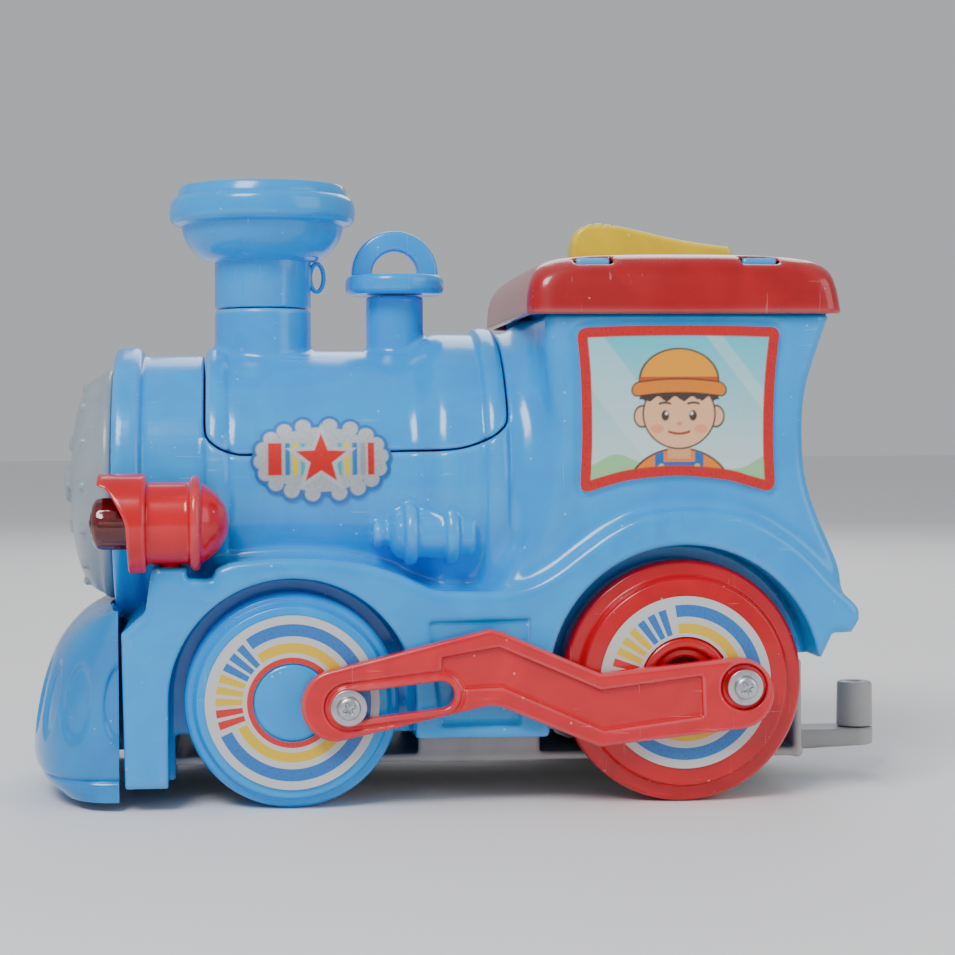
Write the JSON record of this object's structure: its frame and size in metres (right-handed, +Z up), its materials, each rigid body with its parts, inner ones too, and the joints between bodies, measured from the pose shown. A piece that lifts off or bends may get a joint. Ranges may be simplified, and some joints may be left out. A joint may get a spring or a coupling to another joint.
{
  "type": "clockwork toy locomotive",
  "caption": "Moulded plastic clockwork toy steam locomotive with crank-driven side rods, winding key, roof stop lever, lamps, funnel and rear coupling post.",
  "frame": {"origin": "on the floor under the middle of the overall length, on the centre plane", "axes": "+X along the engine toward its coupling post (the funnel end is at -X), +Y toward the side that carries the winding key, +Z up"},
  "size_m": [0.2196, 0.108, 0.1537],
  "materials": {
    "blue_plastic": "glossy moulded ABS, sky blue",
    "red_plastic": "glossy moulded ABS, red",
    "roof_red": "glossy moulded ABS, deep red",
    "grey_plastic": "satin moulded plastic, light grey",
    "door_grey": "satin grey paint on moulded plastic",
    "yellow_plastic": "glossy moulded ABS, yellow",
    "lens_red": "translucent dark red styrene",
    "label_foil": "silver foil label, printed",
    "label_paper": "coated paper label, printed",
    "zinc_steel": "bright zinc-plated steel",
    "spring_steel": "blued spring steel",
    "nylon_white": "natural nylon gears"
  },
  "bodies": {
    "locomotive": {"body_shell_left": "blue_plastic", "body_shell_right": "blue_plastic", "boiler_top_cover": "blue_plastic", "funnel_bowl": "blue_plastic", "whistle_cap": "blue_plastic", "smokebox_door": "door_grey", "cowcatcher": "blue_plastic", "lamp_housing_left": "red_plastic", "lamp_housing_right": "red_plastic", "lamp_lens_left": "lens_red", "lamp_lens_right": "lens_red", "cab_roof": "roof_red", "chassis_plate": "grey_plastic", "coupling_post": "grey_plastic", "boiler_label_left": "label_foil", "boiler_label_right": "label_foil", "cab_label_left": "label_paper", "cab_label_right": "label_paper", "motor_plate_left": "zinc_steel", "motor_plate_right": "zinc_steel", "motor_pillar_front": "zinc_steel", "motor_pillar_top": "zinc_steel", "motor_pillar_rear": "zinc_steel", "motor_pillar_bottom": "zinc_steel", "spring_post": "zinc_steel", "mainspring": "spring_steel", "lever_pin": "zinc_steel", "chassis_screw_1": "zinc_steel", "chassis_screw_2": "zinc_steel", "chassis_screw_3": "zinc_steel", "chassis_screw_4": "zinc_steel"},
    "rear_wheelset": {"rear_axle": "zinc_steel", "axle_pinion": "nylon_white", "rear_wheel_left": "red_plastic", "rear_wheel_right": "red_plastic", "rear_wheel_label_left": "label_paper", "rear_wheel_label_right": "label_paper", "rear_hub_screw_left": "zinc_steel", "rear_hub_screw_right": "zinc_steel", "rear_crank_screw_left": "zinc_steel", "rear_crank_screw_right": "zinc_steel"},
    "front_wheelset": {"front_axle": "zinc_steel", "front_wheel_left": "blue_plastic", "front_wheel_right": "blue_plastic", "front_wheel_label_left": "label_paper", "front_wheel_label_right": "label_paper", "front_crank_screw_left": "zinc_steel", "front_crank_screw_right": "zinc_steel"},
    "left_rod": {"side_rod_left": "red_plastic"},
    "right_rod": {"side_rod_right": "red_plastic"},
    "second_gear": {"second_arbor": "zinc_steel", "second_pinion": "nylon_white", "second_wheel": "nylon_white"},
    "great_gear": {"great_wheel": "nylon_white", "ratchet_click": "zinc_steel"},
    "winding_shaft": {"winding_arbor": "zinc_steel", "ratchet_wheel": "zinc_steel", "winding_key": "zinc_steel"},
    "brake_lever": {"stop_lever": "yellow_plastic", "brake_rod": "zinc_steel"}
  },
  "joints": [
    {"name": "rear_axle_turn", "type": "hinge", "parent": "locomotive", "child": "rear_wheelset", "pos_m": [0.05, 0, 0.0296], "axis": [0, -1, 0], "continuous": true},
    {"name": "front_axle_turn", "type": "hinge", "parent": "locomotive", "child": "front_wheelset", "pos_m": [-0.0452, 0, 0.026], "axis": [0, -1, 0], "continuous": true},
    {"name": "left_rod_turn", "type": "hinge", "parent": "rear_wheelset", "child": "left_rod", "pos_m": [0.06318, 0, 0.0289], "axis": [0, -1, 0], "continuous": true},
    {"name": "right_rod_turn", "type": "hinge", "parent": "rear_wheelset", "child": "right_rod", "pos_m": [0.06318, 0, 0.0289], "axis": [0, -1, 0], "continuous": true},
    {"name": "second_arbor_turn", "type": "hinge", "parent": "locomotive", "child": "second_gear", "pos_m": [0.02604, 0, 0.0408], "axis": [0, -1, 0], "continuous": true},
    {"name": "great_wheel_turn", "type": "hinge", "parent": "locomotive", "child": "great_gear", "pos_m": [0.0208, 0, 0.068], "axis": [0, -1, 0], "continuous": true},
    {"name": "winding_turn", "type": "hinge", "parent": "great_gear", "child": "winding_shaft", "pos_m": [0.0208, 0, 0.068], "axis": [0, 1, 0], "range_deg": [0, 1440]},
    {"name": "stop_lever_tilt", "type": "hinge", "parent": "locomotive", "child": "brake_lever", "pos_m": [0.068, 0, 0.1322], "axis": [0, -1, 0], "range_deg": [0, 6]}
  ],
  "couplings": [
    {"joint": "front_axle_turn", "follows": "rear_axle_turn", "ratio": 1},
    {"joint": "left_rod_turn", "follows": "rear_axle_turn", "ratio": -1},
    {"joint": "right_rod_turn", "follows": "rear_axle_turn", "ratio": -1},
    {"joint": "second_arbor_turn", "follows": "rear_axle_turn", "ratio": -0.3125},
    {"joint": "great_wheel_turn", "follows": "rear_axle_turn", "ratio": 0.069444}
  ]
}
